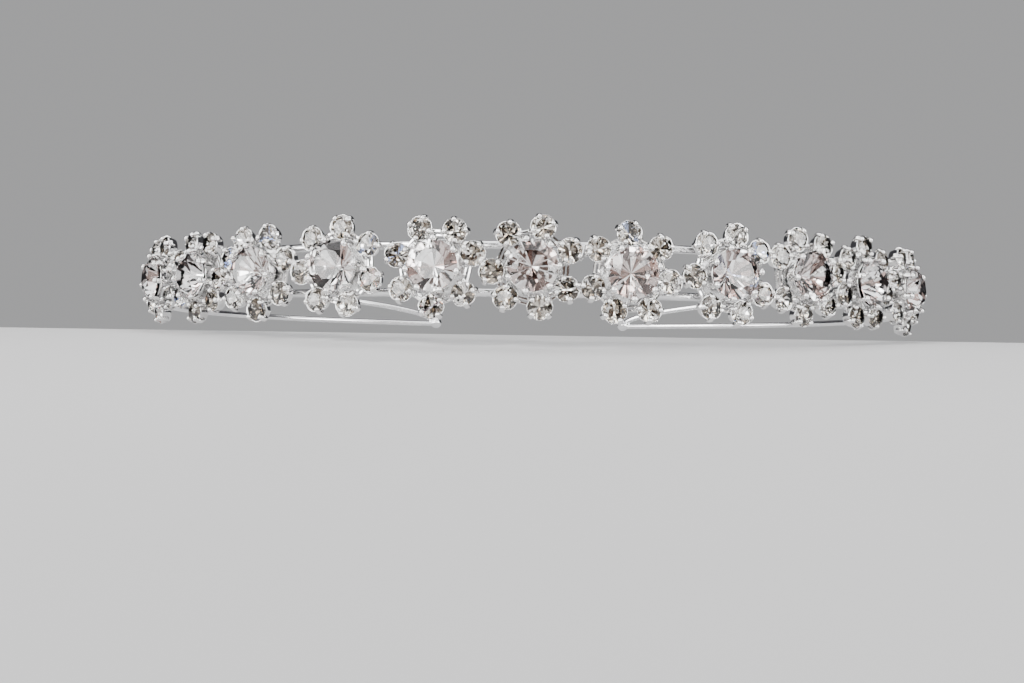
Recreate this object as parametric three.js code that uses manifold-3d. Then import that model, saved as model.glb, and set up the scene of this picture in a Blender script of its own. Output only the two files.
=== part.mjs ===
// Rhinestone bun clip: an oval band of two silver-plated spring wires, open at the back,
// with eleven crystal flowers soldered round its front.
//
// Frame: millimetres, +Z up, the ring lies flat. The middle flower faces -Y, the open
// mouth with its two ball tips is at +Y, and the lowest petals stand on Z = 0.
// The origin is the bottom centre of the whole clip's box.
//
// Each flower is built about its own centre: its local +Z points out of the ring, and
// heights along that axis are measured from the centre line of the wires.

import * as THREE from 'three';
import { mergeVertices } from 'three/addons/utils/BufferGeometryUtils.js';
import Module from 'manifold-3d';

const wasm = await Module();
wasm.setup();

// ---------------------------------------------------------------- the oval of wire
const OVAL_HALF_WIDTH = 59;        // wire centre line, along X
const OVAL_HALF_DEPTH = 39.5;      // wire centre line, along Y
const WIRE_DIAMETER = 1.0;
const WIRE_SIDES = 8;
const WIRE_SEPARATION = 5.8;       // between the two wires' centre lines along the front
const FRONT_WIRE_STEPS = 46;
const ARM_WIRE_STEPS = 20;

const HINGE_TURN = Math.PI / 2;    // where the springy arms begin, on the oval's sides
const HINGE_HALF_GAP = 0.3;        // bare length either side of the flex axis
const TIP_HALF_SPACING = 19.9;     // from the clip's middle plane to each ball tip
const UPPER_WIRE_REACH = 0.972;    // part of the arm along which the upper wire stands clear
const BALL_DIAMETER = 2.3;
const BALL_LIFT = 0.2;             // ball centre above the lower wire's centre line
const BALL_GAP = 0.12;             // between a ball tip and the end of its lower wire

// ---------------------------------------------------------------- the flowers
const FLOWERS_EACH_SIDE = 5;       // plus the one in the middle
const FLOWER_SPACING = 11.75;      // straight distance between neighbours
const SPACING_HEIGHT = 2.0;        // height above the wires at which that is measured
const PETALS = 7;
const PETAL_RADIUS = 4.83;         // from flower centre to petal centre

// The flowers are set by hand, so each differs a little. From the left end to the right:
// its turn about its own axis in degrees, and its shifts upwards and along the wires.
const FLOWER_TURNS = [15, 7, 16, -20, 9, 24, -10, -21, 6, -10, 15];
const FLOWER_LIFTS = [0, -0.3, -0.25, 0.1, 0, 0, -0.6, -0.25, 0.1, -0.1, -0.25];
const FLOWER_SHIFTS = [0.1, 0, -0.6, -0.4, 0.3, 0.2, 0.1, 1.0, 0.4, -0.5, -0.5];

const PLATE_RADIUS = 3.9;          // to the corners of the seven-sided solder plate
const PLATE_BACK = 0.62;
const PLATE_FRONT = 1.08;

const CUP_BASE = 1.2;              // height of the cups' flat backs
const CENTRE_CUP_BASE_RADIUS = 2.2;
const CENTRE_CUP_RIM_RADIUS = 3.12;
const CENTRE_CUP_RIM = 3.35;
const CENTRE_CUP_INNER_RIM_RADIUS = 2.94;
const CENTRE_CUP_FLOOR_RADIUS = 1.9;
const CENTRE_CUP_FLOOR = 1.4;
const CENTRE_CUP_SIDES = 14;
const PRONG_WIDTH = 0.55;

const CRYSTAL_RADIUS = 3.1;
const CRYSTAL_CULET_RADIUS = 0.3;
const CRYSTAL_TABLE_RADIUS = 1.8;
const CRYSTAL_CULET = 1.5;
const CRYSTAL_GIRDLE_LOW = 3.6;
const CRYSTAL_GIRDLE_HIGH = 3.8;
const CRYSTAL_TABLE = 4.75;
const CRYSTAL_SIDES = 14;

const PETAL_CUP_BASE_RADIUS = 1.25;
const PETAL_CUP_RIM_RADIUS = 1.56;
const PETAL_CUP_RIM = 2.6;
const PETAL_TABLE_RADIUS = 0.85;
const PETAL_TABLE = 3.2;
const PETAL_SIDES = 8;
const PETAL_GAP = 0.06;            // least clearance between petals of neighbouring flowers
const BEND_STEPS = 60;
const WEB_OUTER_RADIUS = 5.2;      // the seven-sided strip that joins the petal cups
const WEB_INNER_RADIUS = 4.2;
const WEB_BACK = 1.26;
const WEB_FRONT = 1.74;

// ---------------------------------------------------------------- materials
const wireMetal = new THREE.MeshStandardMaterial({
  color: 0xd8dadd,
  roughness: 0.16,
  metalness: 1.0,
});
const plateMetal = new THREE.MeshStandardMaterial({
  color: 0xc9cacd,
  roughness: 0.24,
  metalness: 1.0,
});
const cupMetal = new THREE.MeshStandardMaterial({
  color: 0xdedfe1,
  roughness: 0.18,
  metalness: 1.0,
});
const crystalGlass = new THREE.MeshStandardMaterial({
  color: 0xf3f1ef,
  roughness: 0.03,
  metalness: 0.2,
});
const petalRingMetal = new THREE.MeshStandardMaterial({
  color: 0xe4e1dd,
  roughness: 0.12,
  metalness: 0.7,
});

// ---------------------------------------------------------------- closed meshes
// Merges shared corners and drops the slivers left where a profile meets its axis.
function closed(geometry) {
  const bare = geometry.clone();
  bare.deleteAttribute('normal');
  bare.deleteAttribute('uv');
  const merged = mergeVertices(bare, 1e-4);
  const corners = merged.index.array;
  const kept = [];
  for (let i = 0; i < corners.length; i += 3) {
    const a = corners[i];
    const b = corners[i + 1];
    const c = corners[i + 2];
    if (a !== b && b !== c && c !== a) {
      kept.push(a, b, c);
    }
  }
  merged.setIndex(kept);
  if (signedVolume(merged) < 0) {
    for (let i = 0; i < kept.length; i += 3) {
      const second = kept[i + 1];
      kept[i + 1] = kept[i + 2];
      kept[i + 2] = second;
    }
    merged.setIndex(kept);
  }
  return merged;
}

function signedVolume(geometry) {
  const places = geometry.attributes.position;
  const corners = geometry.index.array;
  const a = new THREE.Vector3();
  const b = new THREE.Vector3();
  const c = new THREE.Vector3();
  let total = 0;
  for (let i = 0; i < corners.length; i += 3) {
    a.fromBufferAttribute(places, corners[i]);
    b.fromBufferAttribute(places, corners[i + 1]);
    c.fromBufferAttribute(places, corners[i + 2]);
    total += a.dot(b.cross(c)) / 6;
  }
  return total;
}

function solidOf(geometry) {
  const mesh = closed(geometry);
  return new wasm.Manifold(new wasm.Mesh({
    numProp: 3,
    vertProperties: new Float32Array(mesh.attributes.position.array),
    triVerts: new Uint32Array(mesh.index.array),
  }));
}

function geometryOf(solid) {
  const mesh = solid.getMesh();
  const geometry = new THREE.BufferGeometry();
  geometry.setAttribute('position', new THREE.BufferAttribute(mesh.vertProperties, 3));
  geometry.setIndex(new THREE.BufferAttribute(mesh.triVerts, 1));
  return geometry;
}

// A body of revolution about +Z from a profile of [radius, height] pairs.
function revolved(profile, sides) {
  const points = profile.map(([radius, height]) => new THREE.Vector2(radius, height));
  const geometry = new THREE.LatheGeometry(points, sides);
  geometry.rotateX(Math.PI / 2);
  return geometry;
}

// Corners of a polygon at one distance from its centre, at the given angles.
function cornersAt(radius, angles) {
  return angles.map((angle) => (
    new THREE.Vector2(radius * Math.cos(angle), radius * Math.sin(angle))
  ));
}

// Angles that share a full circle evenly, the first of them on +X.
function evenAngles(count) {
  const angles = [];
  for (let i = 0; i < count; i += 1) {
    angles.push((i * 2 * Math.PI) / count);
  }
  return angles;
}

function polygon(radius, sides) {
  return cornersAt(radius, evenAngles(sides));
}

function extruded(shape, back, front) {
  const geometry = new THREE.ExtrudeGeometry(shape, {
    depth: front - back,
    bevelEnabled: false,
  });
  geometry.translate(0, 0, back);
  return geometry;
}

// ---------------------------------------------------------------- the oval's geometry
// A turn of 0 is the middle of the front, and positive turns go towards +X.
function ovalPoint(turn, height, offset = 0) {
  const x = OVAL_HALF_WIDTH * Math.sin(turn);
  const y = -OVAL_HALF_DEPTH * Math.cos(turn);
  const out = ovalOutward(turn);
  return new THREE.Vector3(x + out.x * offset, y + out.y * offset, height);
}

function ovalOutward(turn) {
  return new THREE.Vector3(
    Math.sin(turn) / OVAL_HALF_WIDTH,
    -Math.cos(turn) / OVAL_HALF_DEPTH,
    0,
  ).normalize();
}

// Length of wire passed for each radian of turn.
function lengthPerTurn(turn) {
  return Math.hypot(OVAL_HALF_WIDTH * Math.cos(turn), OVAL_HALF_DEPTH * Math.sin(turn));
}

// The turn whose flower stands one spacing further round than the flower at this turn.
function nextTurn(turn) {
  const start = ovalPoint(turn, 0, SPACING_HEIGHT);
  let low = turn;
  let high = turn + 1;
  for (let i = 0; i < 50; i += 1) {
    const middle = (low + high) / 2;
    if (ovalPoint(middle, 0, SPACING_HEIGHT).distanceTo(start) < FLOWER_SPACING) {
      low = middle;
    } else {
      high = middle;
    }
  }
  return (low + high) / 2;
}

function ovalLength(from, to) {
  const steps = 400;
  let length = 0;
  let before = ovalPoint(from, 0);
  for (let i = 1; i <= steps; i += 1) {
    const here = ovalPoint(from + ((to - from) * i) / steps, 0);
    length += here.distanceTo(before);
    before = here;
  }
  return length;
}

// The turn at a given length of wire past another turn.
function turnAfter(from, length) {
  let low = from;
  let high = from + 2.5;
  for (let i = 0; i < 50; i += 1) {
    const middle = (low + high) / 2;
    if (ovalLength(from, middle) < length) {
      low = middle;
    } else {
      high = middle;
    }
  }
  return (low + high) / 2;
}

const LOWER_WIRE_HEIGHT = -WIRE_SEPARATION / 2;
const TIP_TURN = Math.PI - Math.asin(TIP_HALF_SPACING / OVAL_HALF_WIDTH);
const ARM_START_TURN = turnAfter(HINGE_TURN, HINGE_HALF_GAP);
const FRONT_END_TURN = 2 * HINGE_TURN - ARM_START_TURN;
const ARM_LENGTH = ovalLength(HINGE_TURN, TIP_TURN);

// A stretch of wire along the oval, whose height may change along the way.
class WirePath extends THREE.Curve {
  constructor(fromTurn, toTurn, side, heightAt) {
    super();
    this.fromTurn = fromTurn;
    this.toTurn = toTurn;
    this.side = side;
    this.heightAt = heightAt;
  }

  getPoint(part, target = new THREE.Vector3()) {
    const turn = this.fromTurn + (this.toTurn - this.fromTurn) * part;
    const place = ovalPoint(turn, this.heightAt(turn));
    return target.set(this.side * place.x, place.y, place.z);
  }
}

function wire(path, steps) {
  const section = new THREE.Shape(polygon(WIRE_DIAMETER / 2, WIRE_SIDES));
  return closed(new THREE.ExtrudeGeometry(section, {
    steps,
    bevelEnabled: false,
    extrudePath: path,
  }));
}

// The upper wire leaves the side level, then comes down on a quarter ellipse to the tip.
function armHeight(turn) {
  const part = Math.min(1, ovalLength(HINGE_TURN, turn) / ARM_LENGTH);
  return LOWER_WIRE_HEIGHT + WIRE_SEPARATION * Math.sqrt(1 - part * part);
}

// ---------------------------------------------------------------- one flower's pieces
function backPlate() {
  return closed(extruded(new THREE.Shape(polygon(PLATE_RADIUS, PETALS)), PLATE_BACK, PLATE_FRONT));
}

// One claw, drawn as [distance from the flower's axis, height] and given its width.
function prong() {
  const outline = [
    [2.6, 2.45],
    [2.85, 2.45],
    [3.52, 3.4],
    [3.52, 4.15],
    [3.26, 4.42],
    [3.0, 4.32],
    [3.21, 3.9],
    [3.21, 3.45],
    [3.02, 3.3],
  ];
  const shape = new THREE.Shape(outline.map(([x, y]) => new THREE.Vector2(x, y)));
  const geometry = extruded(shape, -PRONG_WIDTH / 2, PRONG_WIDTH / 2);
  geometry.rotateX(Math.PI / 2);
  return geometry;
}

function centreCup() {
  let cup = solidOf(revolved([
    [0, CUP_BASE],
    [CENTRE_CUP_BASE_RADIUS, CUP_BASE],
    [CENTRE_CUP_RIM_RADIUS, CENTRE_CUP_RIM],
    [CENTRE_CUP_INNER_RIM_RADIUS, CENTRE_CUP_RIM],
    [CENTRE_CUP_FLOOR_RADIUS, CENTRE_CUP_FLOOR],
    [0, CENTRE_CUP_FLOOR],
  ], CENTRE_CUP_SIDES));
  for (let i = 0; i < PETALS; i += 1) {
    const claw = prong();
    claw.rotateZ(((i + 0.5) * 2 * Math.PI) / PETALS);
    cup = cup.add(solidOf(claw));
  }
  return geometryOf(cup);
}

function centreCrystal() {
  return closed(revolved([
    [0, CRYSTAL_CULET],
    [CRYSTAL_CULET_RADIUS, CRYSTAL_CULET],
    [CRYSTAL_RADIUS, CRYSTAL_GIRDLE_LOW],
    [CRYSTAL_RADIUS, CRYSTAL_GIRDLE_HIGH],
    [CRYSTAL_TABLE_RADIUS, CRYSTAL_TABLE],
    [0, CRYSTAL_TABLE],
  ], CRYSTAL_SIDES));
}

// Seven small cups, each filled by its own crystal, joined by a seven-sided strip.
function petalRing(angles) {
  const strip = new THREE.Shape(cornersAt(WEB_OUTER_RADIUS, angles));
  strip.holes.push(new THREE.Path(cornersAt(WEB_INNER_RADIUS, angles).reverse()));
  let ring = solidOf(extruded(strip, WEB_BACK, WEB_FRONT));
  for (const angle of angles) {
    const petal = revolved([
      [0, CUP_BASE],
      [PETAL_CUP_BASE_RADIUS, CUP_BASE],
      [PETAL_CUP_RIM_RADIUS, PETAL_CUP_RIM],
      [PETAL_TABLE_RADIUS, PETAL_TABLE],
      [0, PETAL_TABLE],
    ], PETAL_SIDES);
    petal.rotateZ(Math.PI / PETAL_SIDES);
    petal.translate(PETAL_RADIUS, 0, 0);
    petal.rotateZ(angle);
    ring = ring.add(solidOf(petal));
  }
  return geometryOf(ring);
}

// ---------------------------------------------------------------- where the flowers go
// Each flower's centre on the wires, its three directions, its own turn, and the angles of
// its petals measured from that turn.
function standFlowers() {
  const turnsFromMiddle = [0];
  for (let i = 0; i < FLOWERS_EACH_SIDE; i += 1) {
    turnsFromMiddle.push(nextTurn(turnsFromMiddle[i]));
  }
  return FLOWER_TURNS.map((degrees, index) => {
    const i = index - FLOWERS_EACH_SIDE;
    const evenTurn = Math.sign(i) * turnsFromMiddle[Math.abs(i)];
    const ovalTurn = evenTurn + FLOWER_SHIFTS[index] / lengthPerTurn(evenTurn);
    const outward = ovalOutward(ovalTurn);
    const up = new THREE.Vector3(0, 0, 1);
    return {
      centre: ovalPoint(ovalTurn, FLOWER_LIFTS[index]),
      along: new THREE.Vector3().crossVectors(up, outward),
      up,
      outward,
      turn: THREE.MathUtils.degToRad(degrees),
      petals: evenAngles(PETALS),
    };
  });
}

function petalPoint(flower, petal, height, swing = 0) {
  const angle = flower.turn + flower.petals[petal] + swing;
  return flower.centre.clone()
    .addScaledVector(flower.along, PETAL_RADIUS * Math.cos(angle))
    .addScaledVector(flower.up, PETAL_RADIUS * Math.sin(angle))
    .addScaledVector(flower.outward, height);
}

// Swings one petal round its flower, away from a point of the neighbouring flower.
function swingAway(flower, petal, height, point, amount) {
  const ahead = petalPoint(flower, petal, height, 0.01).distanceTo(point);
  const behind = petalPoint(flower, petal, height, -0.01).distanceTo(point);
  flower.petals[petal] += ahead > behind ? amount : -amount;
}

// Where two neighbouring flowers would touch, the petals of both are bent aside.
function bendPetals(flowers) {
  const levels = [
    [PETAL_CUP_RIM, 2 * PETAL_CUP_RIM_RADIUS + PETAL_GAP],
    [CUP_BASE, 2 * PETAL_CUP_BASE_RADIUS + PETAL_GAP],
  ];
  const clearPair = (left, right, i, j) => {
    for (const [height, wanted] of levels) {
      const from = petalPoint(left, i, height);
      const to = petalPoint(right, j, height);
      const short = wanted - from.distanceTo(to);
      if (short > 0) {
        const amount = (0.525 * short) / PETAL_RADIUS;
        swingAway(left, i, height, to, amount);
        swingAway(right, j, height, from, amount);
      }
    }
  };
  for (let step = 0; step < BEND_STEPS; step += 1) {
    for (let k = 0; k + 1 < flowers.length; k += 1) {
      for (let i = 0; i < PETALS; i += 1) {
        for (let j = 0; j < PETALS; j += 1) {
          clearPair(flowers[k], flowers[k + 1], i, j);
        }
      }
    }
  }
}

// ---------------------------------------------------------------- assembly
const clip = new THREE.Group();

function place(parent, name, geometry, material) {
  const mesh = new THREE.Mesh(geometry, material);
  mesh.name = name;
  parent.add(mesh);
  return mesh;
}

const plateGeometry = backPlate();
const cupGeometry = centreCup();
const crystalGeometry = centreCrystal();

const flowers = standFlowers();
bendPetals(flowers);
flowers.forEach((flower, i) => {
  const turned = new THREE.Group();
  turned.position.copy(flower.centre);
  turned.quaternion.setFromRotationMatrix(
    new THREE.Matrix4().makeBasis(flower.along, flower.up, flower.outward),
  );
  turned.rotateZ(flower.turn);
  clip.add(turned);

  const number = String(i + 1).padStart(2, '0');
  place(turned, `flower_${number}_backplate`, plateGeometry, plateMetal);
  place(turned, `flower_${number}_centre_cup`, cupGeometry, cupMetal);
  place(turned, `flower_${number}_centre_crystal`, crystalGeometry, crystalGlass);
  const ringGeometry = petalRing(flower.petals);
  place(turned, `flower_${number}_petal_ring`, ringGeometry, petalRingMetal);
});

const wireLevels = [
  ['upper_wire', LOWER_WIRE_HEIGHT + WIRE_SEPARATION],
  ['lower_wire', LOWER_WIRE_HEIGHT],
];
for (const [name, height] of wireLevels) {
  const path = new WirePath(-FRONT_END_TURN, FRONT_END_TURN, 1, () => height);
  place(clip, name, wire(path, FRONT_WIRE_STEPS), wireMetal);
}

const upperEndTurn = turnAfter(HINGE_TURN, ARM_LENGTH * UPPER_WIRE_REACH);
const lowerEndTurn = turnAfter(HINGE_TURN, ARM_LENGTH - BALL_DIAMETER / 2 - BALL_GAP);
for (const [sideName, side] of [['left', -1], ['right', 1]]) {
  const upperPath = new WirePath(ARM_START_TURN, upperEndTurn, side, armHeight);
  const lowerPath = new WirePath(ARM_START_TURN, lowerEndTurn, side, () => LOWER_WIRE_HEIGHT);
  place(clip, `${sideName}_arm_upper_wire`, wire(upperPath, ARM_WIRE_STEPS), wireMetal);
  place(clip, `${sideName}_arm_lower_wire`, wire(lowerPath, ARM_WIRE_STEPS), wireMetal);

  const ball = closed(new THREE.SphereGeometry(BALL_DIAMETER / 2, 16, 10));
  const tip = ovalPoint(TIP_TURN, LOWER_WIRE_HEIGHT + BALL_LIFT);
  const ballMesh = place(clip, `${sideName}_ball_tip`, ball, wireMetal);
  ballMesh.position.set(side * tip.x, tip.y, tip.z);
}

// Puts the origin at the bottom centre of the whole clip.
clip.updateMatrixWorld(true);
const box = new THREE.Box3().setFromObject(clip, true);
clip.position.set(
  -(box.min.x + box.max.x) / 2,
  -(box.min.y + box.max.y) / 2,
  -box.min.z,
);
clip.updateMatrixWorld(true);

export default clip;
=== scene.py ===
"""Rhinestone bun clip: two silver-plated spring wires, open at the back, with eleven crystal
flowers soldered round the front. Lengths below are in millimetres unless they say metres."""

import math
import random

import bpy
from mathutils import Matrix, Vector, noise


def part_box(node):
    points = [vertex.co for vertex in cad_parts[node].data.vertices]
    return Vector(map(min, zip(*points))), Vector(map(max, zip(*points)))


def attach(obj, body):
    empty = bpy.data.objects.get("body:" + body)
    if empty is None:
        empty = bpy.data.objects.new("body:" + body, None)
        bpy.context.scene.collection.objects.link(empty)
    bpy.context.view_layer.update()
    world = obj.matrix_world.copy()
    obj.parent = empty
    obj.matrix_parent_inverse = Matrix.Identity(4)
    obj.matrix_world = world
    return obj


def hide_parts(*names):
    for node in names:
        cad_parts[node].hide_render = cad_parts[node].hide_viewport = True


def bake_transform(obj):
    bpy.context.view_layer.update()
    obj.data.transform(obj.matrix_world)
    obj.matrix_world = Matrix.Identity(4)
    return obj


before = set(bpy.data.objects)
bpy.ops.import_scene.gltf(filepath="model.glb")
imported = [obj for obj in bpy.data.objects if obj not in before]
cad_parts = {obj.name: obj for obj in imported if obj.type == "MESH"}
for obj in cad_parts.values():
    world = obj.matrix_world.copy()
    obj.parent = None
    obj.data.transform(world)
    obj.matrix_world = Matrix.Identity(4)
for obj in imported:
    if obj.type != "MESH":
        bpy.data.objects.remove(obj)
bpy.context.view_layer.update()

MM = 0.001
random.seed(7)

# ------------------------------------------------------------------ sizes
OVAL_HALF_WIDTH = 59.0
OVAL_HALF_DEPTH = 39.5
WIRE_RADIUS = 0.5
WIRE_SEPARATION = 5.8
TIP_HALF_SPACING = 19.9
BALL_RADIUS = 1.15
BALL_LIFT = 0.2
END_STRIP = 0.0008

FLOWERS_EACH_SIDE = 5
FLOWER_SPACING = 11.75
SPACING_HEIGHT = 2.0
PETALS = 7
PETAL_RADIUS = 4.83
PETAL_RIM_RADIUS = 1.56
PETAL_BASE_RADIUS = 1.25
PETAL_RIM = 2.6
PETAL_BASE = 1.2
PETAL_GAP = 0.06
BEND_STEPS = 60
FLOWER_TURNS = [15, 7, 16, -20, 9, 24, -10, -21, 6, -10, 15]
FLOWER_LIFTS = [0, -0.3, -0.25, 0.1, 0, 0, -0.6, -0.25, 0.1, -0.1, -0.25]
FLOWER_SHIFTS = [0.1, 0, -0.6, -0.4, 0.3, 0.2, 0.1, 1.0, 0.4, -0.5, -0.5]

# ------------------------------------------------------------------ where the clip is
upper_low, upper_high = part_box("upper_wire")
lower_low, lower_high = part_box("lower_wire")
CENTRE_X = (upper_low.x + upper_high.x) / 2 / MM
CENTRE_Y = upper_low.y / MM + WIRE_RADIUS + OVAL_HALF_DEPTH
CENTRE_Z = (upper_low.z + upper_high.z + lower_low.z + lower_high.z) / 4 / MM


def oval_outward(turn):
    return Vector(
        (math.sin(turn) / OVAL_HALF_WIDTH, -math.cos(turn) / OVAL_HALF_DEPTH, 0)
    ).normalized()


def oval_point(turn, height=0.0, offset=0.0):
    """A point on the wires' oval. Turn 0 is the middle of the front, and +X is positive."""
    place = Vector(
        (
            CENTRE_X + OVAL_HALF_WIDTH * math.sin(turn),
            CENTRE_Y - OVAL_HALF_DEPTH * math.cos(turn),
            CENTRE_Z + height,
        )
    )
    return place + oval_outward(turn) * offset


def length_per_turn(turn):
    return math.hypot(OVAL_HALF_WIDTH * math.cos(turn), OVAL_HALF_DEPTH * math.sin(turn))


def solve(low, high, wanted, measure):
    for _ in range(50):
        middle = (low + high) / 2
        if measure(middle) < wanted:
            low = middle
        else:
            high = middle
    return (low + high) / 2


def next_turn(turn):
    start = oval_point(turn, 0, SPACING_HEIGHT)
    return solve(
        turn,
        turn + 1,
        FLOWER_SPACING,
        lambda t: (oval_point(t, 0, SPACING_HEIGHT) - start).length,
    )


def oval_length(start, end, steps=200):
    total, before = 0.0, oval_point(start)
    for i in range(1, steps + 1):
        here = oval_point(start + (end - start) * i / steps)
        total += (here - before).length
        before = here
    return total


SIDE_TURN = math.pi / 2
TIP_TURN = math.pi - math.asin(TIP_HALF_SPACING / OVAL_HALF_WIDTH)
ARM_LENGTH = oval_length(SIDE_TURN, TIP_TURN)


# ------------------------------------------------------------------ building meshes
class Shape:
    """Collects closed bodies, each face with a material number and a tone for the painted light
    and shade of foiled faces.
    """

    def __init__(self):
        self.points, self.faces, self.materials, self.tints, self.smooth = [], [], [], [], []

    def add(self, points, faces, matrix=None, material=0, tint=0.5, smooth=True):
        base = len(self.points)
        self.points += [matrix @ Vector(p) if matrix else Vector(p) for p in points]
        for i, face in enumerate(faces):
            self.faces.append([base + k for k in face])
            self.materials.append(material[i] if isinstance(material, list) else material)
            self.tints.append(tint[i] if isinstance(tint, list) else tint)
            self.smooth.append(smooth)

    def build(self, name, materials):
        mesh = bpy.data.meshes.new(name)
        mesh.from_pydata([p * MM for p in self.points], [], self.faces)
        for material in materials:
            mesh.materials.append(material)
        mesh.polygons.foreach_set("material_index", self.materials)
        mesh.polygons.foreach_set("use_smooth", self.smooth)
        # Each face's tone for the foil's painted light and shade, read by the foil material.
        tint = mesh.attributes.new("tint", "FLOAT", "FACE")
        tint.data.foreach_set("value", self.tints)
        mesh.validate()
        mesh.update()
        made = bpy.data.objects.new(name, mesh)
        bpy.context.scene.collection.objects.link(made)
        return made


def ring_faces(rings, sides, closed_start=True, closed_end=True):
    faces = []
    for r in range(rings - 1):
        for i in range(sides):
            a, b = r * sides + i, r * sides + (i + 1) % sides
            faces.append([a, b, b + sides, a + sides])
    if closed_start:
        faces.append(list(range(sides))[::-1])
    if closed_end:
        faces.append([(rings - 1) * sides + i for i in range(sides)])
    return faces


def lathe(profile, sides, wobble=None):
    """A closed body from a profile of (radius, height), bottom first, about +Z."""
    points = []
    for radius, height in profile:
        for i in range(sides):
            angle = 2 * math.pi * i / sides
            r = radius * (wobble(angle, height) if wobble else 1.0)
            points.append((r * math.cos(angle), r * math.sin(angle), height))
    return points, ring_faces(len(profile), sides)


def ring_lathe(loop, sides, wobble=None):
    """A ring about +Z, open through its middle, from a closed loop of (radius, height)."""
    points = []
    for radius, height in loop:
        for i in range(sides):
            angle = 2 * math.pi * i / sides
            r = radius * (wobble(angle, height) if wobble else 1.0)
            points.append((r * math.cos(angle), r * math.sin(angle), height))
    faces = ring_faces(len(loop), sides, False, False)
    last = (len(loop) - 1) * sides
    for i in range(sides):
        j = (i + 1) % sides
        faces.append([last + i, last + j, j, i])
    return points, faces


def swept(path, widths, depths, sideways, sides=10):
    """A closed body along a path, with an oval section: widths lie along sideways."""
    points = []
    for k, place in enumerate(path):
        before, after = path[max(k - 1, 0)], path[min(k + 1, len(path) - 1)]
        along = (after - before).normalized()
        across = (sideways - along * sideways.dot(along)).normalized()
        out = along.cross(across)
        for i in range(sides):
            angle = 2 * math.pi * i / sides
            points.append(
                place + across * widths[k] * math.cos(angle) + out * depths[k] * math.sin(angle)
            )
    return points, ring_faces(len(path), sides)


def ball(radius, rings=8, sides=12, squash=(1, 1, 1)):
    points = [(0, 0, -radius * squash[2])]
    for r in range(1, rings):
        lift = -math.cos(math.pi * r / rings)
        wide = math.sin(math.pi * r / rings)
        for i in range(sides):
            angle = 2 * math.pi * i / sides
            points.append(
                (
                    radius * wide * math.cos(angle) * squash[0],
                    radius * wide * math.sin(angle) * squash[1],
                    radius * lift * squash[2],
                )
            )
    points.append((0, 0, radius * squash[2]))
    faces = [[0, 1 + (i + 1) % sides, 1 + i] for i in range(sides)]
    for r in range(rings - 2):
        for i in range(sides):
            a, b = 1 + r * sides + i, 1 + r * sides + (i + 1) % sides
            faces.append([a, b, b + sides, a + sides])
    top, last = len(points) - 1, 1 + (rings - 2) * sides
    faces += [[last + i, last + (i + 1) % sides, top] for i in range(sides)]
    return points, faces


def rounded_bar(start, end, up, width, height, bevel):
    """A straight bar with bevelled long edges."""
    along = (end - start).normalized()
    across = along.cross(up).normalized()
    w, h, b = width / 2, height / 2, bevel
    outline = [
        (w, -h + b), (w, h - b), (w - b, h), (-w + b, h),
        (-w, h - b), (-w, -h + b), (-w + b, -h), (w - b, -h),
    ]
    points = [p + across * x + up * y for p in (start, end) for x, y in outline]
    return points, ring_faces(2, 8)


def brilliant(radius, table, crown, pavilion, girdle, fold=8, star=0.55):
    """A round cut stone with its girdle's lower edge at height 0: a table, stars, kites and
    small edge facets in front, and long wedges behind. Returns its points, its faces, and
    True for each face of the foiled back."""
    points, faces, back = [], [], []
    step = 2 * math.pi / fold

    def ring(r, height, offset, count=fold):
        first = len(points)
        for i in range(count):
            angle = (i + offset) * 2 * math.pi / count
            points.append((r * math.cos(angle), r * math.sin(angle), height))
        return first

    def face(corners, foiled):
        faces.append(corners)
        back.append(foiled)

    top = girdle + crown
    r_star = table + (radius - table) * star
    z_star = girdle + crown * (radius - r_star * math.cos(step / 2)) / (radius - table)
    z_star = min(z_star, top - 0.02 * crown)
    t = ring(table, top, 0)
    s = ring(r_star, z_star, 0.5)
    g = ring(radius, girdle, 0, 2 * fold)
    h = ring(radius, 0, 0, 2 * fold)
    culet = len(points)
    points.append((0, 0, -pavilion))
    face([t + i for i in range(fold)], False)
    for i in range(fold):
        j, k = (i + 1) % fold, (i - 1) % fold
        g0, g1, g2 = g + 2 * i, g + 2 * i + 1, g + (2 * i + 2) % (2 * fold)
        h0, h1, h2 = h + 2 * i, h + 2 * i + 1, h + (2 * i + 2) % (2 * fold)
        face([t + i, s + i, t + j], False)
        face([t + i, s + k, g0, s + i], False)
        face([s + i, g0, g1], False)
        face([s + i, g1, g2], False)
        face([g0, h0, h1, g1], False)
        face([g1, h1, h2, g2], False)
        face([culet, h1, h0], True)
        face([culet, h2, h1], True)
    return points, faces, back


# ------------------------------------------------------------------ materials
def new_material(name):
    material = bpy.data.materials.new(name)
    material.use_nodes = True
    tree = material.node_tree
    shader = tree.nodes["Principled BSDF"]
    return material, tree, shader


def add_noise(tree, scale, detail, roughness=0.5, stretch=None):
    place = tree.nodes.new("ShaderNodeTexCoord")
    texture = tree.nodes.new("ShaderNodeTexNoise")
    texture.inputs["Scale"].default_value = scale
    texture.inputs["Detail"].default_value = detail
    texture.inputs["Roughness"].default_value = roughness
    if stretch:
        mapping = tree.nodes.new("ShaderNodeMapping")
        mapping.inputs["Scale"].default_value = stretch
        tree.links.new(place.outputs["Object"], mapping.inputs["Vector"])
        tree.links.new(mapping.outputs["Vector"], texture.inputs["Vector"])
    else:
        tree.links.new(place.outputs["Object"], texture.inputs["Vector"])
    return texture


def add_range(tree, source, low, high, from_low=0.3, from_high=0.7):
    remap = tree.nodes.new("ShaderNodeMapRange")
    remap.inputs["From Min"].default_value = from_low
    remap.inputs["From Max"].default_value = from_high
    remap.inputs["To Min"].default_value = low
    remap.inputs["To Max"].default_value = high
    tree.links.new(source, remap.inputs["Value"])
    return remap.outputs["Result"]


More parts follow.
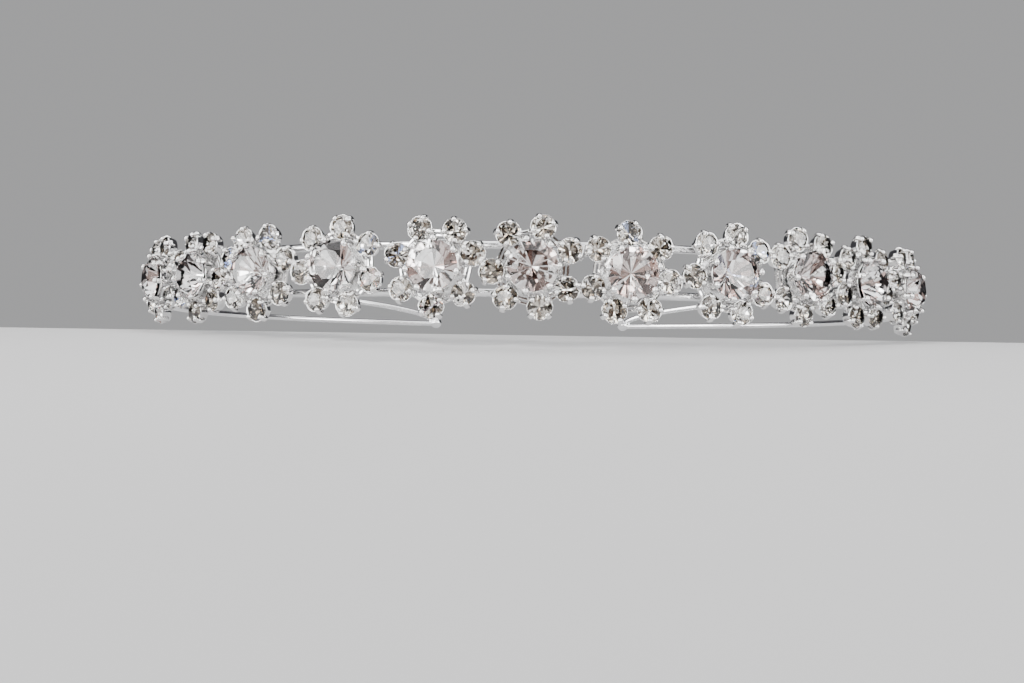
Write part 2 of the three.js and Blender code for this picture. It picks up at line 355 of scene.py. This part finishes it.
def add_ramp(tree, source, stops):
    ramp = tree.nodes.new("ShaderNodeValToRGB")
    while len(ramp.color_ramp.elements) < len(stops):
        ramp.color_ramp.elements.new(0.5)
    for element, (place, colour) in zip(ramp.color_ramp.elements, stops):
        element.position = place
        element.color = (*colour, 1)
    tree.links.new(source, ramp.inputs["Fac"])
    return ramp.outputs["Color"]


def add_bump(tree, shader, source, strength, distance):
    bump = tree.nodes.new("ShaderNodeBump")
    bump.inputs["Strength"].default_value = strength
    bump.inputs["Distance"].default_value = distance
    tree.links.new(source, bump.inputs["Height"])
    tree.links.new(bump.outputs["Normal"], shader.inputs["Normal"])


def plated_metal(name, bright, dull, rough_low, rough_high, dent, stretch=None):
    """Bright silver-coloured plating with faint cloudy wear and a slightly uneven surface."""
    material, tree, shader = new_material(name)
    shader.inputs["Metallic"].default_value = 1.0
    cloud = add_noise(tree, 420.0, 4.0)
    fine = add_noise(tree, 2600.0, 6.0, 0.6, stretch)
    colour = add_ramp(tree, cloud.outputs["Fac"], [(0.3, dull), (0.62, bright)])
    tree.links.new(colour, shader.inputs["Base Color"])
    rough = add_range(tree, fine.outputs["Fac"], rough_low, rough_high)
    tree.links.new(rough, shader.inputs["Roughness"])
    add_bump(tree, shader, fine.outputs["Fac"], 0.35, dent)
    return material


wire_metal = plated_metal(
    "wire_plating", (0.90, 0.90, 0.905), (0.76, 0.76, 0.77), 0.06, 0.15, 0.00001
)
setting_metal = plated_metal(
    "setting_plating", (0.91, 0.905, 0.90), (0.76, 0.745, 0.73), 0.04, 0.12, 0.000012
)
plate_metal = plated_metal(
    "solder_plate_plating", (0.86, 0.86, 0.865), (0.66, 0.65, 0.64), 0.16, 0.32, 0.00002
)


def clear_crystal(name, tone):
    """Clear cut glass, with faint smears on its faces."""
    material, tree, shader = new_material(name)
    shader.inputs["Transmission Weight"].default_value = 1.0
    shader.inputs["IOR"].default_value = 1.58
    shader.inputs["Base Color"].default_value = (*tone, 1)
    smear = add_noise(tree, 700.0, 5.0, 0.6)
    rough = add_range(tree, smear.outputs["Fac"], 0.0, 0.02, 0.5, 0.8)
    tree.links.new(rough, shader.inputs["Roughness"])
    return material


def foil_with_painted_facet_light(name, stops, smoothest, roughest):
    """The mirror foil behind a stone, with light and shade painted into its colour: each cut face
    gets its own painted tone, from near-black painted shade through pinkish painted reflection to
    white painted highlight.
    """
    material, tree, shader = new_material(name)
    shader.inputs["Metallic"].default_value = 1.0
    tint = tree.nodes.new("ShaderNodeAttribute")
    tint.attribute_name = "tint"
    cloud = add_noise(tree, 900.0, 3.0)
    shift = add_range(tree, cloud.outputs["Fac"], -0.015, 0.015)
    total = tree.nodes.new("ShaderNodeMath")
    total.operation = "ADD"
    tree.links.new(tint.outputs["Fac"], total.inputs[0])
    tree.links.new(shift, total.inputs[1])
    tree.links.new(
        add_ramp(tree, total.outputs["Value"], stops), shader.inputs["Base Color"]
    )
    rough = add_range(tree, cloud.outputs["Fac"], smoothest, roughest)
    tree.links.new(rough, shader.inputs["Roughness"])
    return material


# Painted coloured glints, orange and blue, put into the foil's colour on a few cut faces.
FLASHES = ((1.0, 0.62, 0.42), (0.50, 0.62, 1.0))
PAINTED_GLINT_TONES = (0.955, 0.985)
FLASH_SHARE = 0.018

crystal_glass = clear_crystal("crystal_glass", (0.99, 0.985, 0.98))
petal_glass = clear_crystal("petal_crystal_glass", (0.985, 0.98, 0.97))
# Foil colours that are painted light: near-black painted shade, pinkish-brown painted reflection,
# white painted highlight and orange and blue painted glints.
crystal_foil_painted_facets = foil_with_painted_facet_light(
    "crystal_foil_painted_facets",
    [
        (0.0, (0.02, 0.018, 0.02)),
        (0.16, (0.13, 0.10, 0.095)),
        (0.30, (0.44, 0.33, 0.30)),
        (0.44, (0.80, 0.73, 0.71)),
        (0.58, (0.96, 0.955, 0.955)),
        (0.92, (1.0, 1.0, 1.0)),
        (0.94, FLASHES[0]),
        (0.97, FLASHES[1]),
    ],
    0.03,
    0.09,
)
# The same painted shade, reflection, highlight and glints, a little warmer, for the small stones.
petal_foil_painted_facets = foil_with_painted_facet_light(
    "petal_crystal_foil_painted_facets",
    [
        (0.0, (0.04, 0.035, 0.03)),
        (0.2, (0.26, 0.22, 0.18)),
        (0.4, (0.66, 0.62, 0.56)),
        (0.6, (0.95, 0.94, 0.92)),
        (0.92, (1.0, 1.0, 0.99)),
        (0.94, FLASHES[0]),
        (0.97, FLASHES[1]),
    ],
    0.02,
    0.05,
)


# ------------------------------------------------------------------ wires
def arm_height(part):
    """The upper wire's height over the lower one's, along the arm from 0 to 1."""
    return WIRE_SEPARATION * math.sqrt(max(0.0, 1 - part * part))


def wire_stations(side, upper):
    """Turns and heights along one half of a wire, from the middle of the front to the tip."""
    front_steps, arm_steps = 90, 70
    base = -WIRE_SEPARATION / 2
    level = base + (WIRE_SEPARATION if upper else 0)
    # The second station keeps the shading square where the two halves of a wire meet.
    turns = [0.0, END_STRIP] + [SIDE_TURN * i / front_steps for i in range(1, front_steps)]
    stations = [(turn, level) for turn in turns]
    table = [(0.0, SIDE_TURN)]
    walked, turn, before = 0.0, SIDE_TURN, oval_point(SIDE_TURN)
    while turn < TIP_TURN:
        turn += 0.004
        here = oval_point(turn)
        walked += (here - before).length
        before = here
        table.append((walked / ARM_LENGTH, turn))
    for i in range(arm_steps + 1):
        part = math.sin(math.radians(87.5) * i / arm_steps) if upper else 0.995 * i / arm_steps
        k = next((n for n, row in enumerate(table) if row[0] >= part), len(table) - 1)
        (p0, t0), (p1, t1) = table[max(k - 1, 0)], table[k]
        turn = t1 if p1 <= p0 else t0 + (t1 - t0) * (part - p0) / (p1 - p0)
        stations.append((turn, base + (arm_height(part) if upper else 0)))
    return stations


def half_wire(name, side, upper, sides=20):
    stations = wire_stations(side, upper)
    places = []
    for turn, height in stations:
        p = oval_point(turn, height)
        places.append(Vector((CENTRE_X + side * (p.x - CENTRE_X), p.y, p.z)))
    points = []
    for k, place in enumerate(places):
        before, after = places[max(k - 1, 0)], places[min(k + 1, len(places) - 1)]
        along = (after - before).normalized()
        if k == 0:
            along = Vector((side, 0, 0))
        out = oval_outward(stations[k][0])
        out = Vector((side * out.x, out.y, 0))
        across = along.cross(out).normalized()
        for i in range(sides):
            angle = 2 * math.pi * i / sides
            points.append(
                place + (out * math.cos(angle) + across * math.sin(angle)) * WIRE_RADIUS
            )
    faces = ring_faces(len(places), sides)
    if side < 0:
        faces = [f[::-1] for f in faces]
    shape = Shape()
    shape.add(points, faces)
    made = shape.build(name, [wire_metal])
    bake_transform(made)
    return made


def outward_facing(made):
    """Turns a closed mesh's faces outwards."""
    import bmesh

    work = bmesh.new()
    work.from_mesh(made.data)
    bmesh.ops.recalc_face_normals(work, faces=work.faces)
    work.to_mesh(made.data)
    work.free()
    made.data.update()


for side, word in ((-1, "left"), (1, "right")):
    upper = half_wire(f"{word}_upper_spring_wire", side, True)
    lower = half_wire(f"{word}_lower_spring_wire", side, False)
    outward_facing(upper)
    outward_facing(lower)
    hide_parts("upper_wire", f"{word}_arm_upper_wire")
    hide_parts("lower_wire", f"{word}_arm_lower_wire")

    tip_low, tip_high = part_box(f"{word}_ball_tip")
    middle = (tip_low + tip_high) / 2 / MM
    shape = Shape()
    points, faces = ball(BALL_RADIUS, 24, 36)
    dented = []
    for p in points:
        p = Vector(p)
        uneven = 1 + 0.018 * noise.noise(p * 1.3 + Vector((side * 5, 2, 1)))
        dented.append(middle + p * uneven)
    shape.add(dented, faces)
    # The collar where the two wires run into the ball.
    turn = solve(SIDE_TURN, TIP_TURN, ARM_LENGTH - 1.5, lambda t: oval_length(SIDE_TURN, t, 80))
    back = oval_point(turn, -WIRE_SEPARATION / 2 + 0.45)
    back = Vector((CENTRE_X + side * (back.x - CENTRE_X), back.y, back.z))
    path = [middle.lerp(back, k / 6) for k in range(7)]
    sizes = [0.98, 0.98, 0.95, 0.86, 0.78, 0.66, 0.5]
    points, faces = swept(path, [0.62 * s for s in sizes], [0.95 * s for s in sizes],
                          oval_outward(turn), 20)
    shape.add(points, faces)
    tip = shape.build(f"{word}_tip_ball", [wire_metal])
    outward_facing(tip)
    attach(tip, f"{word}_arm")
    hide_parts(f"{word}_ball_tip")


# ------------------------------------------------------------------ flowers
def about_z(angle, place=(0, 0, 0)):
    return Matrix.Translation(Vector(place)) @ Matrix.Rotation(angle, 4, "Z")


def claw(shape, reach, low, high, lean, width, thick, bead, matrix):
    """One claw: up the cup's wall at radius reach, over the stone's edge, ending in a bead."""
    path = []
    for k in range(9):
        t = k / 8
        radius = reach - lean * t ** 3
        if t < 0.35:
            radius -= (0.35 - t) * 0.9
        path.append(Vector((radius, 0, low + (high - low) * t)))
    sizes = [0.95, 1.0, 1.0, 1.0, 0.98, 0.95, 0.9, 0.82, 0.6]
    points, faces = swept(
        path, [width / 2 * s for s in sizes], [thick / 2 * s for s in sizes], Vector((0, 1, 0)), 10
    )
    shape.add(points, faces, matrix)
    points, faces = ball(bead, 8, 12, (0.85, 1.0, 0.8))
    tip = path[-1] + Vector((0.02, 0, -0.04))
    shape.add([Vector(p) + tip for p in points], faces, matrix)


def petal_cup(shape, matrix, rng):
    def square(angle, height):
        grip = max(0.0, min(1.0, (height - 1.3) / 1.0))
        return 1 + 0.035 * grip * math.cos(4 * angle)

    loop = [
        (0.5, 1.2), (1.08, 1.2), (1.2, 1.26), (1.27, 1.4), (1.36, 1.7), (1.44, 2.05),
        (1.52, 2.4), (1.54, 2.5), (1.5, 2.56), (1.42, 2.5), (1.32, 2.25), (1.1, 1.75),
        (0.75, 1.45), (0.45, 1.3),
    ]
    points, faces = ring_lathe(loop, 28, square)
    shape.add(points, faces, matrix)
    for i in range(4):
        turn = math.pi / 4 + i * math.pi / 2 + rng.uniform(-0.08, 0.08)
        turned = matrix @ about_z(turn)
        claw(shape, 1.72, 1.7, 2.95 + rng.uniform(-0.06, 0.05), 0.46, 0.7, 0.3, 0.34, turned)


def tints_for(back, rng, evenness):
    """A painted light-and-shade tone for each face of a stone: foiled faces run from painted
    shade, dark, 0, to painted highlight, bright, 0.9; a few get painted glints.
    """
    tints = []
    for foiled in back:
        tone = 0.9 * rng.random() ** evenness
        if rng.random() < FLASH_SHARE:
            tone = rng.choice(PAINTED_GLINT_TONES)
        tints.append(tone if foiled else 0.5)
    return tints


def stone(shape, radius, table, crown, pavilion, girdle, height, matrix, rng, fold, dark):
    points, faces, back = brilliant(radius, table, crown, pavilion, girdle, fold)
    tilt = Matrix.Rotation(rng.uniform(-0.05, 0.05), 4, "X") @ Matrix.Rotation(
        rng.uniform(-0.05, 0.05), 4, "Y"
    )
    place = matrix @ Matrix.Translation((0, 0, height)) @ tilt @ about_z(rng.uniform(0, 6.28))
    # Foiled faces get random tones of painted light and shade for the foil's colour.
    shape.add(
        points,
        faces,
        place,
        material=[1 if b else 0 for b in back],
        tint=tints_for(back, rng, dark),
        smooth=False,
    )


def solder_blob(shape, place, size, rng):
    points, faces = ball(1.0, 10, 16)
    seed = Vector((rng.uniform(0, 50), rng.uniform(0, 50), 0))
    made = []
    for p in points:
        p = Vector(p) * (1 + 0.22 * noise.noise(Vector(p) * 1.1 + seed))
        made.append(place + Vector((p.x * size[0], p.y * size[1], p.z * size[2])))
    shape.add(made, faces)


def stand_flowers():
    """Each flower's centre and directions on the wires, its own turn and its petals' angles."""
    from_middle = [0.0]
    for _ in range(FLOWERS_EACH_SIDE):
        from_middle.append(next_turn(from_middle[-1]))
    flowers = []
    for index, degrees in enumerate(FLOWER_TURNS):
        i = index - FLOWERS_EACH_SIDE
        even = math.copysign(from_middle[abs(i)], i) if i else 0.0
        turn = even + FLOWER_SHIFTS[index] / length_per_turn(even)
        out = oval_outward(turn)
        up = Vector((0, 0, 1))
        flowers.append(
            {
                "centre": oval_point(turn, FLOWER_LIFTS[index]),
                "along": up.cross(out),
                "up": up,
                "out": out,
                "turn": math.radians(degrees),
                "petals": [k * 2 * math.pi / PETALS for k in range(PETALS)],
            }
        )
    return flowers


def petal_point(flower, k, height, swing=0.0):
    angle = flower["turn"] + flower["petals"][k] + swing
    return (
        flower["centre"]
        + flower["along"] * (PETAL_RADIUS * math.cos(angle))
        + flower["up"] * (PETAL_RADIUS * math.sin(angle))
        + flower["out"] * height
    )


def swing_away(flower, k, height, point, amount):
    ahead = (petal_point(flower, k, height, 0.01) - point).length
    behind = (petal_point(flower, k, height, -0.01) - point).length
    flower["petals"][k] += amount if ahead > behind else -amount


def bend_petals(flowers):
    """Where two neighbouring flowers would touch, the petals of both are bent aside."""
    levels = (
        (PETAL_RIM, 2 * PETAL_RIM_RADIUS + PETAL_GAP),
        (PETAL_BASE, 2 * PETAL_BASE_RADIUS + PETAL_GAP),
    )
    for _ in range(BEND_STEPS):
        for left, right in zip(flowers, flowers[1:]):
            for i in range(PETALS):
                for j in range(PETALS):
                    for height, wanted in levels:
                        a = petal_point(left, i, height)
                        b = petal_point(right, j, height)
                        short = wanted - (a - b).length
                        if short > 0:
                            amount = 0.525 * short / PETAL_RADIUS
                            swing_away(left, i, height, b, amount)
                            swing_away(right, j, height, a, amount)


def make_flower(index, data):
    out, up, along, centre = data["out"], data["up"], data["along"], data["centre"]
    frame_of = Matrix(
        (
            (along.x, up.x, out.x, centre.x),
            (along.y, up.y, out.y, centre.y),
            (along.z, up.z, out.z, centre.z),
            (0, 0, 0, 1),
        )
    )
    flower = frame_of @ about_z(data["turn"])
    rng = random.Random(100 + index)
    number = f"{index + 1:02d}"
    step = 2 * math.pi / PETALS

    # The solder plate behind, with solder where it meets the two wires.
    shape = Shape()
    outline = [(3.75, 0.46), (3.84, 0.5), (3.88, 0.56), (3.88, 0.76), (3.84, 0.82), (3.75, 0.86)]
    corners = lambda a, h: math.cos(step / 2) / math.cos((a + step / 2) % step - step / 2) * 1.0
    points, faces = lathe(outline, 7 * 8, lambda a, h: corners(a + step / 2, h))
    shape.add(points, faces, flower)
    for level in (-WIRE_SEPARATION / 2, WIRE_SEPARATION / 2):
        height = level - FLOWER_LIFTS[index]
        if abs(height) > 3.2:
            continue
        for x in (-1.25, 1.3):
            place = Vector((x + rng.uniform(-0.25, 0.25), height + rng.uniform(-0.1, 0.1), 0.42))
            blob = Shape()
            solder_blob(blob, place, (0.75, 0.62, 0.34), rng)
            shape.add(blob.points, blob.faces, frame_of)
    plate = shape.build(f"flower_{number}_solder_plate", [plate_metal])
    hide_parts(f"flower_{number}_backplate")

    # The centre cup with its seven claws.
    shape = Shape()
    loop = [
        (0.85, 1.2), (2.05, 1.2), (2.2, 1.26), (2.3, 1.45), (2.6, 2.2), (2.9, 2.9),
        (3.08, 3.28), (3.11, 3.36), (3.06, 3.42), (2.96, 3.38), (2.8, 3.1), (2.3, 2.2),
        (1.7, 1.6), (0.9, 1.42),
    ]
    points, faces = ring_lathe(loop, 56)
    shape.add(points, faces, flower)
    for k in range(PETALS):
        turned = flower @ about_z((k + 0.5) * step + rng.uniform(-0.06, 0.06))
        claw(shape, 3.42, 2.5, 4.24 + rng.uniform(-0.07, 0.05), 0.28, 0.74, 0.34, 0.43, turned)
    cup = shape.build(f"flower_{number}_centre_setting", [setting_metal])
    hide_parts(f"flower_{number}_centre_cup")

    # The large stone.
    shape = Shape()
    stone(shape, 3.1, 1.85, 0.95, 2.7, 0.14, 3.64, flower, rng, 8, 0.75)
    crystal = shape.build(f"flower_{number}_large_crystal", [crystal_glass, crystal_foil_painted_facets])
    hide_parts(f"flower_{number}_centre_crystal")

    # The seven small cups, their claws, and the slotted links between them.
    cups, stones = Shape(), Shape()
    angles = data["petals"]
    for k in range(PETALS):
        place = flower @ about_z(angles[k]) @ Matrix.Translation((PETAL_RADIUS, 0, 0))
        lean = Matrix.Translation((0, 0, 2.0)) @ Matrix.Rotation(
            rng.uniform(-0.09, 0.09), 4, "X"
        ) @ Matrix.Rotation(rng.uniform(-0.02, 0.12), 4, "Y") @ Matrix.Translation((0, 0, -2.0))
        place = place @ lean @ about_z(rng.uniform(-0.25, 0.25))
        petal_cup(cups, place, rng)
        stone(stones, 1.43, 0.86, 0.44, 1.24, 0.07, 2.52, place, rng, 6, 0.8)
        pair = (angles[k], angles[(k + 1) % PETALS])
        ends = [Vector((math.cos(a), math.sin(a), 0)) for a in pair]
        for radius, wide in ((4.82, 0.32), (4.25, 0.3)):
            a, b = (e * radius + Vector((0, 0, 1.62)) for e in ends)
            points, faces = rounded_bar(
                a.lerp(b, 0.12), a.lerp(b, 0.88), Vector((0, 0, 1)), wide, 0.34, 0.07
            )
            cups.add(points, faces, flower, smooth=False)
        for t in (0.3, 0.7):
            a, b = (e * 4.74 + Vector((0, 0, 1.62)) for e in ends)
            c, d = (e * 4.33 + Vector((0, 0, 1.62)) for e in ends)
            points, faces = rounded_bar(
                a.lerp(b, t), c.lerp(d, t), Vector((0, 0, 1)), 0.3, 0.32, 0.06
            )
            cups.add(points, faces, flower, smooth=False)
    ring = cups.build(f"flower_{number}_petal_cups", [setting_metal])
    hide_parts(f"flower_{number}_petal_ring")
    small = stones.build(f"flower_{number}_petal_crystals", [petal_glass, petal_foil_painted_facets])
    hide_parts(f"flower_{number}_petal_ring")
    for made in (plate, cup, crystal, ring, small):
        outward_facing(made)
        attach(made, "band")


flowers = stand_flowers()
bend_petals(flowers)
for index, data in enumerate(flowers):
    make_flower(index, data)


# ------------------------------------------------------------------ floor, camera, light
FLOOR_STEP = 15.0
FLOOR_STEP_LENGTH = 160.0


def make_floor():
    """A pale floor, flat under the clip, that falls away gently in front of it."""
    columns, rows = 40, 360
    half = 900.0
    crest = CENTRE_Y + 11.0
    points = []
    for r in range(rows + 1):
        y = -half + 2 * half * r / rows
        part = min(1.0, max(0.0, (crest - y) / FLOOR_STEP_LENGTH))
        drop = FLOOR_STEP * part**3 * (10 - 15 * part + 6 * part**2)
        for c in range(columns + 1):
            x = -half + 2 * half * c / columns
            points.append((x, y, -drop))
    faces = []
    for r in range(rows):
        for c in range(columns):
            a = r * (columns + 1) + c
            faces.append([a, a + 1, a + columns + 2, a + columns + 1])
    material, tree, shader = new_material("pale_floor")
    cloud = add_noise(tree, 9.0, 6.0)
    colour = add_ramp(
        tree, cloud.outputs["Fac"], [(0.3, (0.62, 0.62, 0.625)), (0.7, (0.67, 0.67, 0.675))]
    )
    tree.links.new(colour, shader.inputs["Base Color"])
    shader.inputs["Roughness"].default_value = 0.75
    shape = Shape()
    shape.add(points, faces)
    floor = shape.build("studio_floor", [material])


make_floor()

camera_data = bpy.data.cameras.new("camera")
camera_data.sensor_width = 36.0
camera_data.lens = 29.14
camera_data.clip_start = 0.001
camera_data.clip_end = 20.0
camera = bpy.data.objects.new("camera", camera_data)
bpy.context.scene.collection.objects.link(camera)
bpy.context.scene.camera = camera
camera.location = Vector((CENTRE_X - 0.16, CENTRE_Y - 139.4, CENTRE_Z - 11.8)) * MM
camera.rotation_euler = (
    Matrix.Rotation(math.radians(1.12), 4, "Z")
    @ Matrix.Rotation(math.radians(90 + 1.73), 4, "X")
    @ Matrix.Rotation(math.radians(0.92), 4, "Z")
).to_euler()


def soft_light(name, place, target, size, power, colour=(1, 1, 1)):
    data = bpy.data.lights.new(name, "AREA")
    data.shape = "RECTANGLE"
    data.size, data.size_y = size
    data.energy = power
    data.color = colour
    lamp = bpy.data.objects.new(name, data)
    lamp.location = place
    aim = Vector(target) - Vector(place)
    lamp.rotation_euler = aim.to_track_quat("-Z", "Y").to_euler()
    bpy.context.scene.collection.objects.link(lamp)


TARGET = (0.0, -0.02, 0.006)
soft_light("key", (-0.28, -0.32, 0.42), TARGET, (0.16, 0.16), 2.0, (1.0, 0.985, 0.96))
soft_light("fill", (0.42, -0.30, 0.20), TARGET, (0.12, 0.25), 0.8, (0.96, 0.98, 1.0))
soft_light("top", (0.0, 0.10, 0.55), TARGET, (0.4, 0.2), 1.2)
soft_light("front", (0.05, -0.42, 0.12), TARGET, (0.04, 0.04), 0.25, (1.0, 0.98, 0.95))

def make_world():
    """A plain pale backdrop. What the stones and the metal mirror is the rest of the studio:
    soft panels with dark gaps round the camera, a broad one overhead, and a dim back wall."""
    world = bpy.data.worlds.new("studio")
    world.use_nodes = True
    bpy.context.scene.world = world
    tree = world.node_tree
    background = tree.nodes["Background"]
    direction = tree.nodes.new("ShaderNodeTexCoord")
    split = tree.nodes.new("ShaderNodeSeparateXYZ")
    tree.links.new(direction.outputs["Generated"], split.inputs["Vector"])

    cells = tree.nodes.new("ShaderNodeTexVoronoi")
    cells.inputs["Scale"].default_value = 2.7
    tree.links.new(direction.outputs["Generated"], cells.inputs["Vector"])
    parts = tree.nodes.new("ShaderNodeSeparateColor")
    tree.links.new(cells.outputs["Color"], parts.inputs["Color"])
    panels = tree.nodes.new("ShaderNodeValToRGB")
    panels.color_ramp.interpolation = "CONSTANT"
    stops = [
        (0.0, (0.008, 0.007, 0.007)),
        (0.34, (0.14, 0.095, 0.08)),
        (0.44, (0.42, 0.40, 0.39)),
        (0.54, (1.8, 1.75, 1.7)),
        (0.67, (13.0, 13.0, 13.0)),
    ]
    while len(panels.color_ramp.elements) < len(stops):
        panels.color_ramp.elements.new(0.5)
    for element, (place, colour) in zip(panels.color_ramp.elements, stops):
        element.position = place
        element.color = (*colour, 1)
    tree.links.new(parts.outputs["Red"], panels.inputs["Fac"])

    def blend(factor, first, second):
        mix = tree.nodes.new("ShaderNodeMix")
        mix.data_type = "RGBA"
        tree.links.new(factor, mix.inputs["Factor"])
        for socket, value in (("A", first), ("B", second)):
            target = [i for i in mix.inputs if i.name == socket and i.type == "RGBA"][0]
            if isinstance(value, tuple):
                target.default_value = (*value, 1)
            else:
                tree.links.new(value, target)
        return [o for o in mix.outputs if o.type == "RGBA"][0]

    to_back = add_range(tree, split.outputs["Y"], 0.0, 1.0, -0.25, 0.1)
    to_gap = add_range(tree, split.outputs["Z"], 0.0, 1.0, 0.32, 0.36)
    to_top = add_range(tree, split.outputs["Z"], 0.0, 1.0, 0.60, 0.66)
    mirrored = blend(to_gap, panels.outputs["Color"], (0.04, 0.04, 0.042))
    mirrored = blend(to_top, mirrored, (2.6, 2.6, 2.63))
    mirrored = blend(to_back, mirrored, (0.06, 0.06, 0.065))
    seen = tree.nodes.new("ShaderNodeLightPath")
    shown = blend(seen.outputs["Is Diffuse Ray"], mirrored, (0.42, 0.42, 0.43))
    shown = blend(seen.outputs["Is Camera Ray"], shown, (0.40, 0.40, 0.405))
    tree.links.new(shown, background.inputs["Color"])


make_world()
